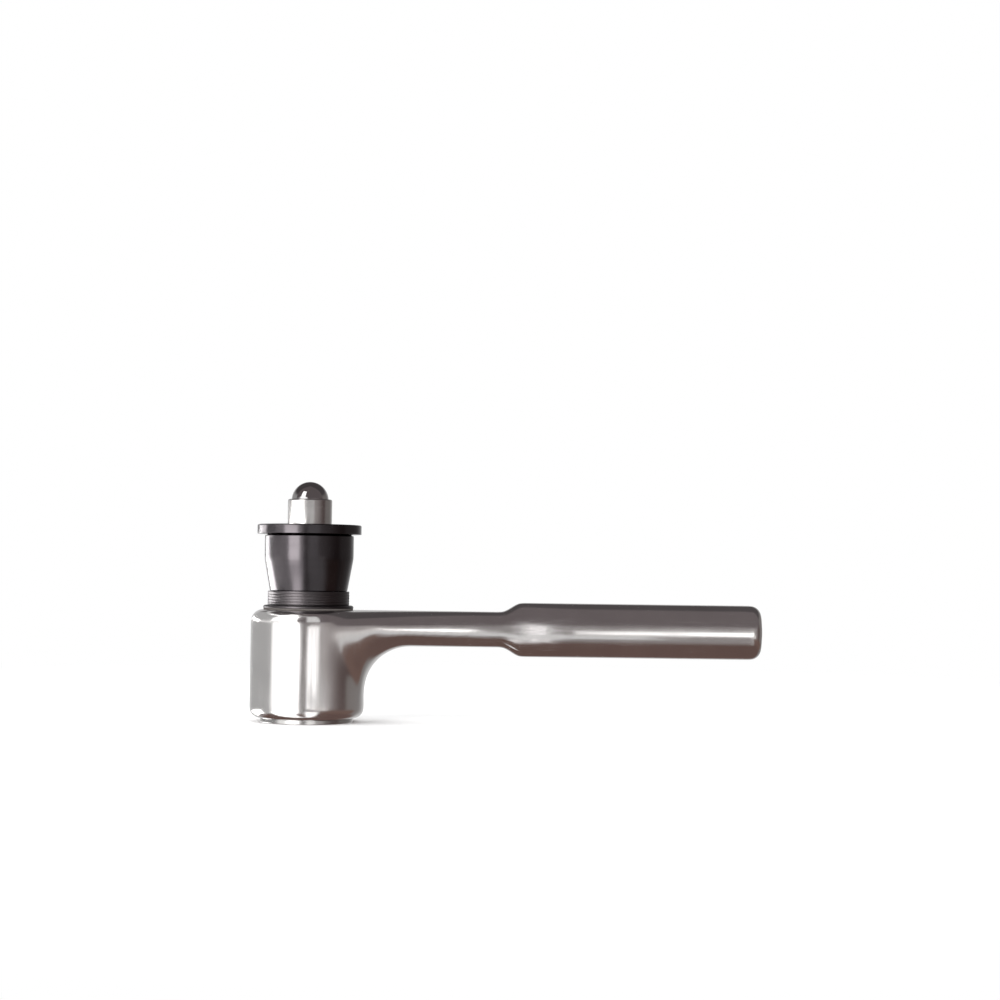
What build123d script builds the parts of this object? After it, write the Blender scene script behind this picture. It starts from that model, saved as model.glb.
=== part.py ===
from build123d import *
import math
import os

# Hammer-blow hardness tester: a test head that lifts out of a holder with a one-piece handle.
# A blow on the top ball drives the load train down until the shear pin breaks, so the indenter
# ball is pressed into the work with a known load.
# Millimetres. The origin is on the head's axis in the plane of the sole, +Z is up, and the
# handle points along +X.

os.makedirs("parts", exist_ok=True)

# ---- driving dimensions: holder ----
HEAD_R = 24.5
HEAD_TOP = 48.2
TOP_ROUND = 5.3
HEAD_BOTTOM_ROUND = 4.3
SOLE_T = 1.8
SOLE_R = 19.8
NOSE_BORE_R = 11.5
ARM_W = 15.0                  # at the neck
ARM_BOTTOM = 32.9
NECK_X = 78.0
FLARE_X = 84.0
GUSSET_R = 20.0
GRIP_X = 91.0
GRIP_END = 195.0
GRIP_W = 20.0
GRIP_H = 23.3
GRIP_Z = (HEAD_TOP + ARM_BOTTOM) / 2
GRIP_ROUND = 9.6
FLARE_ROUND = 5.0
GRIP_END_ROUND = 4.5
GRIP_BORE_R = 6.5
GRIP_BORE_X = 108.0
PLUG_LENGTH = 9.0

# ---- driving dimensions: test head ----
FIT = 0.05                    # radial running clearance
BARREL_R = 13.5
BARREL_BOTTOM = 9.6
LINER_R = 15.5
LINER_BOTTOM = 9.0
GASKET_T = 0.5
SEAT_BOTTOM = HEAD_TOP + GASKET_T + 0.05
SEAT_TOP = 50.0
SEAT_R = 19.4
RING_R = 17.5
RING_TOP = 56.0
RING_BORE_R = 14.25
CUP_BOTTOM = 56.1
CUP_TOP = 80.0
CUP_FOOT_R = 16.6
CUP_R = 19.1
CUP_SHOULDER_Z = 70.2
CUP_SHOULDER_ROUND = 16.0
CAP_BOTTOM = 80.6
CAP_TOP = 84.6
CAP_R = 22.35
CAP_HUB_R = 15.5
CAP_HUB_BOTTOM = 70.0
BARREL_SHOULDER_Z = 62.0
BUSH_R = 11.0
O_RING_GROOVE = 1.4

# ---- driving dimensions: load train ----
STRIKER_R = 9.5
STRIKER_TOP = 95.6
STRIKING_BALL_R = 7.9375
STRIKING_BALL_Z = 95.25
SHOULDER_R = 10.7
SHOULDER_BOTTOM = 64.0
SHOULDER_TOP = 68.0
SHANK_R = 6.0
SHANK_BOTTOM = 46.0
SLEEVE_BOTTOM = 31.0
SLEEVE_TOP = 57.0
SLEEVE_FLOOR = 41.0
BUFFER_BOTTOM = 58.0
BUFFER_TOP = 60.5
ROD_R = 7.0
ROD_SPIGOT_R = 4.5
ROD_SPIGOT_TOP = 39.0
ROD_THREAD_R = 6.5
INDENTER_R = 5.0
INDENTER_Z = 5.3
CAP_NUT_R = 9.0
CAP_NUT_TOP = 8.8
CAP_NUT_BOTTOM = 1.3
CAP_NUT_WEB = 4.2
BALL_CLEARANCE = 0.03

# ---- driving dimensions: pins, screws and spring ----
SHEAR_PIN_R = 1.75
SHEAR_PIN_LENGTH = 18.6
SHEAR_PIN_Z = 53.05
PIN_FIT = 0.04
PORT_R = 2.1
CROSS_PIN_R = 1.5
CROSS_PIN_Z = 35.0
GUIDE_SCREW_Z = 45.0
GUIDE_SCREW_R = 2.0
GUIDE_DOG_R = 1.4
GUIDE_SLOT = (3.4, 43.0, 49.0)    # width, lower end, upper end
GUIDE_SLOT_FLOOR = 7.6
SPRING_SEAT_Z = 17.3
SPRING_WIRE_R = 0.65
SPRING_R = 8.2
SPRING_TURNS = 4
ROUND_WIRE_SIDES = 8              # round wire and cord as an even-sided section
SOLE_SCREW_CIRCLE_R = 15.75
SOLE_SCREW_R = 1.5
SOLE_SCREW_TIP = 7.4
SOLE_SCREW_HEAD_R = 2.75


def turned(corners):
    """Closed half-section of a turned piece, from (radius, height) corners."""
    with BuildSketch(Plane.XZ) as section:
        with BuildLine():
            Polyline(*corners, close=True)
        make_face()
    return section.sketch


def tube(inner, outer, bottom, top, chamfer_size=0.0):
    """Half-section of a plain tube, with its outer corners taken off."""
    c = chamfer_size
    return turned([
        (inner, bottom),
        (outer - c, bottom),
        (outer, bottom + c),
        (outer, top - c),
        (outer - c, top),
        (inner, top),
    ] if c else [(inner, bottom), (outer, bottom), (outer, top), (inner, top)])


def save(piece, name):
    """Label a finished piece and write it to its own file."""
    piece.part.label = name
    export_step(piece.part, f"parts/{name}.step")


# ================= holder =================

# Arm. Its underside is turned round the head's axis, so that the gusset leaves the head's wall all
# round. Its sides leave the head on a tangent and run parallel where they reach the neck.
gusset_foot = ARM_BOTTOM - GUSSET_R
arm_start_x = 6.0
half_w = ARM_W / 2
side_r = (NECK_X**2 - HEAD_R**2 + half_w**2) / (2 * (HEAD_R - half_w))
departure = math.acos((half_w + side_r) / (HEAD_R + side_r))
departure_x = HEAD_R * math.sin(departure)
departure_y = HEAD_R * math.cos(departure)
with BuildPart() as arm:
    with BuildSketch(Plane.XZ):
        with BuildLine():
            under_edge = Line((NECK_X + 2, ARM_BOTTOM), (HEAD_R + GUSSET_R, ARM_BOTTOM))
            gusset_arc = TangentArc(under_edge @ 1, (HEAD_R, gusset_foot), tangent=(-1, 0))
            Polyline(
                gusset_arc @ 1,
                (arm_start_x, gusset_foot),
                (arm_start_x, HEAD_TOP),
                (NECK_X + 2, HEAD_TOP),
                under_edge @ 0,
            )
        make_face()
    revolve(axis=Axis.Z)
    with BuildSketch():
        with BuildLine():
            TangentArc((NECK_X, half_w), (departure_x, departure_y), tangent=(-1, 0))
            Polyline(
                (departure_x, departure_y),
                (arm_start_x, departure_y),
                (arm_start_x, 0),
                (NECK_X, 0),
                (NECK_X, half_w),
            )
        make_face()
        mirror(about=Plane.XZ)
    extrude(amount=HEAD_TOP, mode=Mode.INTERSECT)

# Grip: the neck's section swells to an upright oval and runs to a rounded end.
with BuildPart() as grip:
    neck_section = (ARM_W, HEAD_TOP - ARM_BOTTOM, TOP_ROUND)
    grip_section = (GRIP_W, GRIP_H, GRIP_ROUND)
    stations = [(NECK_X, neck_section), (FLARE_X, neck_section), (GRIP_X, grip_section), (GRIP_END, grip_section)]
    for x, (width, height, corner) in stations:
        with BuildSketch(Plane.YZ.offset(x)):
            with Locations((0, GRIP_Z)):
                RectangleRounded(width, height, corner)
    loft(ruled=True)
    for x, radius in ((FLARE_X, FLARE_ROUND), (GRIP_X, FLARE_ROUND), (GRIP_END, GRIP_END_ROUND)):
        fillet(grip.edges().filter_by(lambda e: abs(e.center().X - x) < 0.01), radius)

with BuildPart() as holder_body:
    with BuildSketch(Plane.XY.offset(SOLE_T)):
        Circle(HEAD_R)
    extrude(amount=HEAD_TOP - SOLE_T)
    fillet(holder_body.edges().sort_by(Axis.Z)[0], HEAD_BOTTOM_ROUND)
    add(arm.part)
    # One round runs along the top of head and arm, and another under the arm's sides.
    top_rim = holder_body.edges().filter_by(
        lambda e: abs(e.center().Z - HEAD_TOP) < 0.01 and e.center().X < NECK_X - 1
    )
    fillet(top_rim, TOP_ROUND)
    under_rims = holder_body.edges().filter_by(
        lambda e: gusset_foot + 1 < e.center().Z < ARM_BOTTOM + 0.1
        and HEAD_R < e.center().X < NECK_X - 1 and abs(e.center().Y) > 1
    )
    fillet(under_rims, TOP_ROUND)
    add(grip.part)
    # Stepped bore for the liner above and the nose of the load train below.
    with Locations((0, 0, HEAD_TOP)):
        CounterBoreHole(NOSE_BORE_R, LINER_R, HEAD_TOP - LINER_BOTTOM, HEAD_TOP)
    # Tapped holes for the sole ring.
    with BuildSketch(Plane.XY.offset(SOLE_T)):
        with PolarLocations(SOLE_SCREW_CIRCLE_R, 4, start_angle=45):
            Circle(SOLE_SCREW_R)
    extrude(amount=SOLE_SCREW_TIP + 0.6 - SOLE_T, mode=Mode.SUBTRACT)
    # The grip is bored out from its end, which keeps the weight over the sole.
    with BuildSketch(Plane.YZ.offset(GRIP_END)):
        with Locations((0, GRIP_Z)):
            Circle(GRIP_BORE_R)
    extrude(amount=GRIP_BORE_X - GRIP_END, mode=Mode.SUBTRACT)
save(holder_body, "holder_body")

with BuildPart() as grip_plug:
    with BuildSketch(Plane.YZ.offset(GRIP_END - PLUG_LENGTH)):
        with Locations((0, GRIP_Z)):
            Circle(GRIP_BORE_R)
    extrude(amount=PLUG_LENGTH)
    chamfer(grip_plug.edges().sort_by(Axis.X)[-1], 0.6)
save(grip_plug, "grip_plug")

with BuildPart() as sole_ring:
    revolve(tube(NOSE_BORE_R, SOLE_R, 0, SOLE_T), axis=Axis.Z)
    chamfer(sole_ring.edges().filter_by(GeomType.CIRCLE).group_by(Axis.Z)[0], 0.3)
    # Countersunk seats that the screw heads fill to just below the face.
    with BuildSketch(Plane.XY):
        with PolarLocations(SOLE_SCREW_CIRCLE_R, 4, start_angle=45):
            Circle(SOLE_SCREW_HEAD_R + 0.1)
    seat_depth = SOLE_SCREW_HEAD_R + 0.1 - SOLE_SCREW_R
    extrude(amount=seat_depth, taper=45, mode=Mode.SUBTRACT)
    with BuildSketch(Plane.XY):
        with PolarLocations(SOLE_SCREW_CIRCLE_R, 4, start_angle=45):
            Circle(SOLE_SCREW_R)
    extrude(amount=SOLE_T, mode=Mode.SUBTRACT)
save(sole_ring, "sole_ring")

with BuildPart() as sole_screws:
    for place in PolarLocations(SOLE_SCREW_CIRCLE_R, 4, start_angle=45):
        screw_x = place.position.X
        screw_y = place.position.Y
        with BuildSketch(Plane.XY.offset(0.1)):
            with Locations((screw_x, screw_y)):
                Circle(SOLE_SCREW_HEAD_R)
        extrude(amount=SOLE_SCREW_HEAD_R - SOLE_SCREW_R, taper=45)
        with BuildSketch(Plane.XY.offset(0.1)):
            with Locations((screw_x, screw_y)):
                Circle(SOLE_SCREW_R)
        extrude(amount=SOLE_SCREW_TIP - 0.1)
        with BuildSketch(Plane.XY.offset(0.1)):
            with Locations((screw_x, screw_y)):
                RegularPolygon(1.15, 6)
        extrude(amount=1.0, mode=Mode.SUBTRACT)
save(sole_screws, "sole_screws")

with BuildPart() as bore_liner:
    liner_bore = BARREL_R + FIT
    revolve(turned([
        (liner_bore, LINER_BOTTOM),
        (LINER_R, LINER_BOTTOM),
        (LINER_R, HEAD_TOP - 0.2),
        (liner_bore + 0.8, HEAD_TOP - 0.2),
        (liner_bore, HEAD_TOP - 1.0),
    ]), axis=Axis.Z)
save(bore_liner, "bore_liner")

with BuildPart() as seat_gasket:
    revolve(tube(LINER_R + 0.2, SEAT_R - 0.2, HEAD_TOP, HEAD_TOP + GASKET_T), axis=Axis.Z)
save(seat_gasket, "seat_gasket")

# ================= test head =================

with BuildPart() as barrel:
    lower_bore = STRIKER_R + FIT
    upper_bore = BUSH_R + FIT
    groove_bottom = 10.4
    groove_top = 11.5
    groove_r = 10.5
    o_ring_low = 39.8
    o_ring_high = 41.8
    revolve(turned([
        (lower_bore, BARREL_BOTTOM),
        (BARREL_R - 0.8, BARREL_BOTTOM),
        (BARREL_R, BARREL_BOTTOM + 0.8),
        (BARREL_R, o_ring_low),
        (BARREL_R - O_RING_GROOVE, o_ring_low),
        (BARREL_R - O_RING_GROOVE, o_ring_high),
        (BARREL_R, o_ring_high),
        (BARREL_R, SEAT_BOTTOM),
        (SEAT_R, SEAT_BOTTOM),
        (SEAT_R, SEAT_TOP),
        (RING_BORE_R - FIT, SEAT_TOP),
        (RING_BORE_R - FIT, BARREL_SHOULDER_Z),
        (BARREL_R, BARREL_SHOULDER_Z),
        (BARREL_R, CAP_BOTTOM),
        (upper_bore, CAP_BOTTOM),
        (upper_bore, BUFFER_BOTTOM),
        (lower_bore, BUFFER_BOTTOM),
        (lower_bore, groove_top),
        (groove_r, groove_top),
        (groove_r, groove_bottom),
        (lower_bore, groove_bottom),
    ]), axis=Axis.Z)
    chamfer(barrel.edges().filter_by(lambda e: abs(e.radius - SEAT_R) < 0.01 if e.geom_type == GeomType.CIRCLE
                                     else False), 0.3)
    # Ports on both sides for driving the shear pin out.
    with BuildSketch(Plane.YZ):
        with Locations((0, SHEAR_PIN_Z)):
            Circle(PORT_R)
    extrude(amount=BARREL_R + 2, both=True, mode=Mode.SUBTRACT)
    # Tapped hole for the guide screw, on the side away from the user.
    with BuildSketch(Plane.XZ):
        with Locations((0, GUIDE_SCREW_Z)):
            Circle(GUIDE_SCREW_R)
    extrude(amount=-(BARREL_R + 2), mode=Mode.SUBTRACT)
save(barrel, "barrel")

with BuildPart() as guide_screw:
    with BuildSketch(Plane.XZ.offset(-lower_bore)):
        with Locations((0, GUIDE_SCREW_Z)):
            Circle(GUIDE_SCREW_R)
    extrude(amount=-(BARREL_R - 0.3 - lower_bore))
    with BuildSketch(Plane.XZ.offset(-lower_bore)):
        with Locations((0, GUIDE_SCREW_Z)):
            Circle(GUIDE_DOG_R)
    extrude(amount=1.6)
    with BuildSketch(Plane.XZ.offset(-(BARREL_R - 0.3))):
        with Locations((0, GUIDE_SCREW_Z)):
            RegularPolygon(1.15, 6)
    extrude(amount=1.6, mode=Mode.SUBTRACT)
save(guide_screw, "guide_screw")

with BuildPart() as barrel_o_ring:
    cord_r = (O_RING_GROOVE + FIT / 2) / 2
    with BuildSketch(Plane.XZ):
        with Locations((BARREL_R - O_RING_GROOVE + cord_r, (o_ring_low + o_ring_high) / 2)):
            RegularPolygon(cord_r, ROUND_WIRE_SIDES)
    revolve(axis=Axis.Z)
save(barrel_o_ring, "barrel_o_ring")

with BuildPart() as rod_bush:
    revolve(tube(ROD_R + PIN_FIT, lower_bore, groove_top, SPRING_SEAT_Z - 0.8), axis=Axis.Z)
save(rod_bush, "rod_bush")

with BuildPart() as spring_washer:
    revolve(tube(ROD_R + 0.3, lower_bore - 0.15, SPRING_SEAT_Z - 0.8, SPRING_SEAT_Z), axis=Axis.Z)
save(spring_washer, "spring_washer")

# Internal circlip: an open ring in the barrel's groove, with an eye for the pliers at each end.
with BuildPart() as bush_circlip:
    eye_circle_r = 8.9
    eye_angle = 20
    with BuildSketch(Plane.XY.offset(groove_bottom + 0.05)):
        Circle(groove_r - 0.05)
        Circle(lower_bore - 0.75, mode=Mode.SUBTRACT)
        with BuildLine():
            Polyline(
                (0, 0),
                (groove_r * 2, -groove_r * 2 * math.tan(math.radians(eye_angle - 6))),
                (groove_r * 2, groove_r * 2 * math.tan(math.radians(eye_angle - 6))),
                close=True,
            )
        make_face(mode=Mode.SUBTRACT)
        for angle in (-eye_angle, eye_angle):
            with Locations(Location((0, 0, 0), (0, 0, angle))):
                with Locations((eye_circle_r, 0)):
                    Circle(1.1)
                    Circle(0.5, mode=Mode.SUBTRACT)
    extrude(amount=groove_top - groove_bottom - 0.1)
save(bush_circlip, "bush_circlip")

# Return spring with both ends ground flat.
with BuildPart() as return_spring:
    free_height = SLEEVE_BOTTOM - SPRING_SEAT_Z
    with BuildLine(Plane.XY.offset(SPRING_SEAT_Z)):
        coil = Helix(pitch=free_height / SPRING_TURNS, height=free_height, radius=SPRING_R)
    with BuildSketch(Plane(coil @ 0, z_dir=coil % 0)):
        RegularPolygon(SPRING_WIRE_R, ROUND_WIRE_SIDES)
    sweep(is_frenet=True)
    with BuildSketch(Plane.XY.offset(SPRING_SEAT_Z)):
        Circle(SPRING_R * 1.5)
    extrude(amount=free_height, mode=Mode.INTERSECT)
save(return_spring, "return_spring")

with BuildPart() as buffer_ring:
    revolve(tube(SHANK_R + 0.8, upper_bore - 0.15, BUFFER_BOTTOM, BUFFER_TOP, 0.4), axis=Axis.Z)
save(buffer_ring, "buffer_ring")

# Cup: straight at the top, then drawn in to a narrow foot over a soft shoulder.
with BuildPart() as cup_sleeve:
    with BuildSketch(Plane.XZ) as cup_section:
        with BuildLine():
            Polyline(
                (RING_BORE_R, CUP_BOTTOM),
                (CUP_FOOT_R - 0.3, CUP_BOTTOM),
                (CUP_FOOT_R, CUP_BOTTOM + 0.3),
                (CUP_R, CUP_SHOULDER_Z),
                (CUP_R, CUP_TOP - 0.5),
                (CUP_R - 0.5, CUP_TOP),
                (CAP_HUB_R + FIT, CUP_TOP),
                (CAP_HUB_R + FIT, CAP_HUB_BOTTOM),
                (BARREL_R + FIT, CAP_HUB_BOTTOM),
                (BARREL_R + FIT, BARREL_SHOULDER_Z),
                (RING_BORE_R, BARREL_SHOULDER_Z),
                close=True,
            )
        make_face()
        shoulder = cup_section.vertices().filter_by(
            lambda v: abs(v.X - CUP_R) < 0.01 and abs(v.Y - CUP_SHOULDER_Z) < 0.01
        )
        fillet(shoulder, CUP_SHOULDER_ROUND)
    revolve(axis=Axis.Z)
save(cup_sleeve, "cup_sleeve")

with BuildPart() as cap_flange:
    rim = 0.35
    revolve(turned([
        (BUSH_R, CAP_BOTTOM),
        (BARREL_R, CAP_BOTTOM),
        (BARREL_R, CAP_HUB_BOTTOM),
        (CAP_HUB_R, CAP_HUB_BOTTOM),
        (CAP_HUB_R, CAP_BOTTOM),
        (CAP_R - rim, CAP_BOTTOM),
        (CAP_R, CAP_BOTTOM + rim),
        (CAP_R, CAP_TOP - rim),
        (CAP_R - rim, CAP_TOP),
        (BUSH_R + rim, CAP_TOP),
        (BUSH_R, CAP_TOP - rim),
    ]), axis=Axis.Z)
    # Holes for the pin spanner that screws the cap down.
    with BuildSketch(Plane.XY.offset(CAP_TOP)):
        with PolarLocations(17.0, 4, start_angle=45):
            Circle(2.0)
    extrude(amount=-2.5, mode=Mode.SUBTRACT)
save(cap_flange, "cap_flange")

with BuildPart() as striker_bush:
    revolve(tube(STRIKER_R + FIT, BUSH_R, CAP_HUB_BOTTOM, CAP_TOP - 2.6), axis=Axis.Z)
save(striker_bush, "striker_bush")

# Wiper: a rubber ring with a lip that keeps dirt off the striker.
with BuildPart() as wiper_ring:
    wiper_bottom = CAP_TOP - 2.6
    revolve(turned([
        (STRIKER_R + 0.9, wiper_bottom),
        (BUSH_R, wiper_bottom),
        (BUSH_R, CAP_TOP - 0.6),
        (STRIKER_R + 0.6, CAP_TOP - 0.1),
        (STRIKER_R + 0.3, CAP_TOP - 0.1),
        (STRIKER_R + 0.3, CAP_TOP - 0.6),
    ]), axis=Axis.Z)
save(wiper_ring, "wiper_ring")

# Pin ring: turned a quarter turn, it covers the ports and keeps the shear pin in.
with BuildPart() as pin_ring:
    ring_bottom = SEAT_TOP + 0.1
    ribs = 5
    rib_pitch = (RING_TOP - ring_bottom) / ribs
    rib_depth = 0.4
    rib_outline = []
    for i in range(ribs):
        rib_z = ring_bottom + i * rib_pitch
        rib_outline += [
            (RING_R - rib_depth, rib_z),
            (RING_R, rib_z + 0.25 * rib_pitch),
            (RING_R, rib_z + 0.75 * rib_pitch),
            (RING_R - rib_depth, rib_z + 0.98 * rib_pitch),
        ]
    revolve(turned(
        [(RING_BORE_R, ring_bottom)] + rib_outline + [(RING_R - rib_depth, RING_TOP), (RING_BORE_R, RING_TOP)]
    ), axis=Axis.Z)
    with BuildSketch(Plane.YZ):
        with Locations((0, SHEAR_PIN_Z)):
            Circle(PORT_R)
    extrude(amount=RING_R + 1, both=True, mode=Mode.SUBTRACT)
save(pin_ring, "pin_ring")

# ================= load train =================

with BuildPart() as striker:
    revolve(turned([
        (0, SHANK_BOTTOM),
        (SHANK_R - 0.8, SHANK_BOTTOM),
        (SHANK_R, SHANK_BOTTOM + 0.8),
        (SHANK_R, SHOULDER_BOTTOM),
        (SHOULDER_R, SHOULDER_BOTTOM),
        (SHOULDER_R, SHOULDER_TOP),
        (STRIKER_R, SHOULDER_TOP),
        (STRIKER_R, STRIKER_TOP - 0.6),
        (STRIKER_R - 0.6, STRIKER_TOP),
        (0, STRIKER_TOP),
    ]), axis=Axis.Z)
    # Cup for the striking ball, a hair past its middle so that the rim holds it.
    with Locations((0, 0, STRIKING_BALL_Z)):
        Sphere(STRIKING_BALL_R + BALL_CLEARANCE, mode=Mode.SUBTRACT)
    with BuildSketch(Plane.YZ):
        with Locations((0, SHEAR_PIN_Z)):
            Circle(SHEAR_PIN_R + PIN_FIT)
    extrude(amount=SHANK_R + 1, both=True, mode=Mode.SUBTRACT)
save(striker, "striker")

with BuildPart() as striking_ball:
    with Locations((0, 0, STRIKING_BALL_Z)):
        Sphere(STRIKING_BALL_R)
save(striking_ball, "striking_ball")

with BuildPart() as load_sleeve:
    revolve(turned([
        (ROD_SPIGOT_R, SLEEVE_BOTTOM),
        (STRIKER_R, SLEEVE_BOTTOM),
        (STRIKER_R, SLEEVE_TOP - 0.5),
        (STRIKER_R - 0.5, SLEEVE_TOP),
        (SHANK_R + PIN_FIT, SLEEVE_TOP),
        (SHANK_R + PIN_FIT, SLEEVE_FLOOR),
        (0, SLEEVE_FLOOR),
        (0, ROD_SPIGOT_TOP),
        (ROD_SPIGOT_R, ROD_SPIGOT_TOP),
    ]), axis=Axis.Z)
    with BuildSketch(Plane.YZ):
        with Locations((0, SHEAR_PIN_Z)):
            Circle(SHEAR_PIN_R + PIN_FIT)
    extrude(amount=STRIKER_R + 1, both=True, mode=Mode.SUBTRACT)
    with BuildSketch(Plane.XZ):
        with Locations((0, CROSS_PIN_Z)):
            Circle(CROSS_PIN_R)
    extrude(amount=STRIKER_R + 1, both=True, mode=Mode.SUBTRACT)
    # Keyway for the dog of the guide screw, long enough for the stroke.
    slot_width, slot_low, slot_high = GUIDE_SLOT
    with BuildSketch(Plane.XZ.offset(-GUIDE_SLOT_FLOOR)):
        with Locations((0, (slot_low + slot_high) / 2)):
            SlotOverall(slot_high - slot_low, slot_width, rotation=90)
    extrude(amount=-(STRIKER_R - GUIDE_SLOT_FLOOR + 1), mode=Mode.SUBTRACT)
save(load_sleeve, "load_sleeve")

with BuildPart() as sleeve_cross_pin:
    with BuildSketch(Plane.XZ):
        with Locations((0, CROSS_PIN_Z)):
            Circle(CROSS_PIN_R)
    extrude(amount=STRIKER_R - 0.4, both=True)
save(sleeve_cross_pin, "sleeve_cross_pin")

with BuildPart() as indenter_rod:
    revolve(turned([
        (0, CAP_NUT_WEB),
        (ROD_THREAD_R, CAP_NUT_WEB),
        (ROD_THREAD_R, CAP_NUT_TOP + 0.1),
        (ROD_R, CAP_NUT_TOP + 0.1),
        (ROD_R, SLEEVE_BOTTOM),
        (ROD_SPIGOT_R, SLEEVE_BOTTOM),
        (ROD_SPIGOT_R, ROD_SPIGOT_TOP),
        (0, ROD_SPIGOT_TOP),
    ]), axis=Axis.Z)
    pocket_r = INDENTER_R + BALL_CLEARANCE
    with Locations((0, 0, INDENTER_Z)):
        Sphere(pocket_r, mode=Mode.SUBTRACT)
        Cylinder(pocket_r, 3, align=(Align.CENTER, Align.CENTER, Align.MAX), mode=Mode.SUBTRACT)
    with BuildSketch(Plane.XZ):
        with Locations((0, CROSS_PIN_Z)):
            Circle(CROSS_PIN_R)
    extrude(amount=ROD_R, both=True, mode=Mode.SUBTRACT)
save(indenter_rod, "indenter_rod")

with BuildPart() as indenter_ball:
    with Locations((0, 0, INDENTER_Z)):
        Sphere(INDENTER_R)
save(indenter_ball, "indenter_ball")

# Cap nut: holds the indenter ball against the rod and has two flats for a spanner.
with BuildPart() as ball_cap:
    revolve(turned([
        (0, CAP_NUT_BOTTOM),
        (CAP_NUT_R - 2.2, CAP_NUT_BOTTOM),
        (CAP_NUT_R, CAP_NUT_BOTTOM + 2.2),
        (CAP_NUT_R, CAP_NUT_TOP),
        (ROD_THREAD_R, CAP_NUT_TOP),
        (ROD_THREAD_R, CAP_NUT_WEB),
        (0, CAP_NUT_WEB),
    ]), axis=Axis.Z)
    with Locations((0, 0, INDENTER_Z)):
        Sphere(pocket_r, mode=Mode.SUBTRACT)
    across_flats = 16.0
    with BuildSketch(Plane.XY.offset(CAP_NUT_BOTTOM)):
        Rectangle(across_flats, 3 * CAP_NUT_R)
    extrude(amount=CAP_NUT_TOP - CAP_NUT_BOTTOM, mode=Mode.INTERSECT)
save(ball_cap, "ball_cap")

with BuildPart() as shear_pin:
    with BuildSketch(Plane.YZ):
        with Locations((0, SHEAR_PIN_Z)):
            Circle(SHEAR_PIN_R)
    extrude(amount=SHEAR_PIN_LENGTH / 2, both=True)
    chamfer(shear_pin.edges().filter_by(GeomType.CIRCLE), 0.4)
save(shear_pin, "shear_pin")
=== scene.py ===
import bmesh
import bpy
import math
from mathutils import Matrix, Vector


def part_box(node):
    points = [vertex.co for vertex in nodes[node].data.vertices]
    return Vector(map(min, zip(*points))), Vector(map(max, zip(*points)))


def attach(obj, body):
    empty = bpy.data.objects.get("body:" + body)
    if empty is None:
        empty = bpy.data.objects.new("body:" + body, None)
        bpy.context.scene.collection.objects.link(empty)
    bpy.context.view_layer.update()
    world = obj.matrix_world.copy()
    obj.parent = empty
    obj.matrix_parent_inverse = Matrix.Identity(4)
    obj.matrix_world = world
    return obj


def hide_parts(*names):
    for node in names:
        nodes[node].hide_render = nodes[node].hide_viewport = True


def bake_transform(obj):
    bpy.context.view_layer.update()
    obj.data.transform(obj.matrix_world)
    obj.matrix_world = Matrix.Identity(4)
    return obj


# Looks of the hammer-blow hardness tester. Metres, in the frame of the CAD part: the head's axis is Z,
# the sole is z = 0 and the handle points along +X.

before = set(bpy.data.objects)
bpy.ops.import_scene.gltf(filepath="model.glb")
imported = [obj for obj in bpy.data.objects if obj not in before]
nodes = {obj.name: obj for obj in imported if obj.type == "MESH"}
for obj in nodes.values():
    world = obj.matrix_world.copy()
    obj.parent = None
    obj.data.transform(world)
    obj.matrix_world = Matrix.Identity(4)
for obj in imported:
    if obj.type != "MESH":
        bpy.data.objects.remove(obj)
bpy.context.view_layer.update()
scene = bpy.context.scene
MM = 0.001


# ---- sizes ----

def radius(node):
    """Outer radius of a turned CAD node, in millimetres."""
    return -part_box(node)[0].y / MM


def bottom(node):
    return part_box(node)[0].z / MM


def top(node):
    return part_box(node)[1].z / MM


def centre(node):
    """Height of a CAD node's centre."""
    return (bottom(node) + top(node)) / 2


# Millimetres. Outsides come from the frame, and bores and steps that no box shows are given here.
HEAD_TOP = bottom("seat_gasket")
HEAD_BOTTOM = bottom("holder_body")
GRIP_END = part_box("holder_body")[1].x / MM
GRIP_Z = centre("grip_plug")
GRIP_BORE_R = radius("grip_plug")
GRIP_BORE_X = 108.0
HEAD_R = radius("holder_body")
TOP_ROUND = 5.3
BOTTOM_ROUND = 4.3
ARM_BOTTOM = 32.9
NECK_X = 78.0
NECK_HALF_W = 7.5
FLARE_START_X = 83.0
FLARE_END_X = 92.0
# The handle's width grows from the arm's to the grip's over this length.
GRIP_WIDENING = 32.0
# The handle's section is an oval with this power, less the drop in the grip and in the web: 2 is an ellipse,
# and a higher one is squarer.
ARM_POWER = 2.6
GRIP_POWER_DROP = 0.3
WEB_POWER_DROP = 0.7
WEB_POWER_RUN = 6.0
# Distance between the handle's sections, and size of the grains that grow head and handle together.
STATION_STEP = 1.5
GRAIN = 0.7
GRIP_HALF_W = 10.0
GRIP_HALF_H = 11.65
GRIP_END_ROUND = 4.5
GUSSET_R = 20.0
GUSSET_END_X = HEAD_R + GUSSET_R - 0.1
LINER_R = radius("bore_liner")
LINER_BOTTOM = bottom("bore_liner")
NOSE_BORE_R = 11.5
BARREL_R = 13.5
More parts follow.
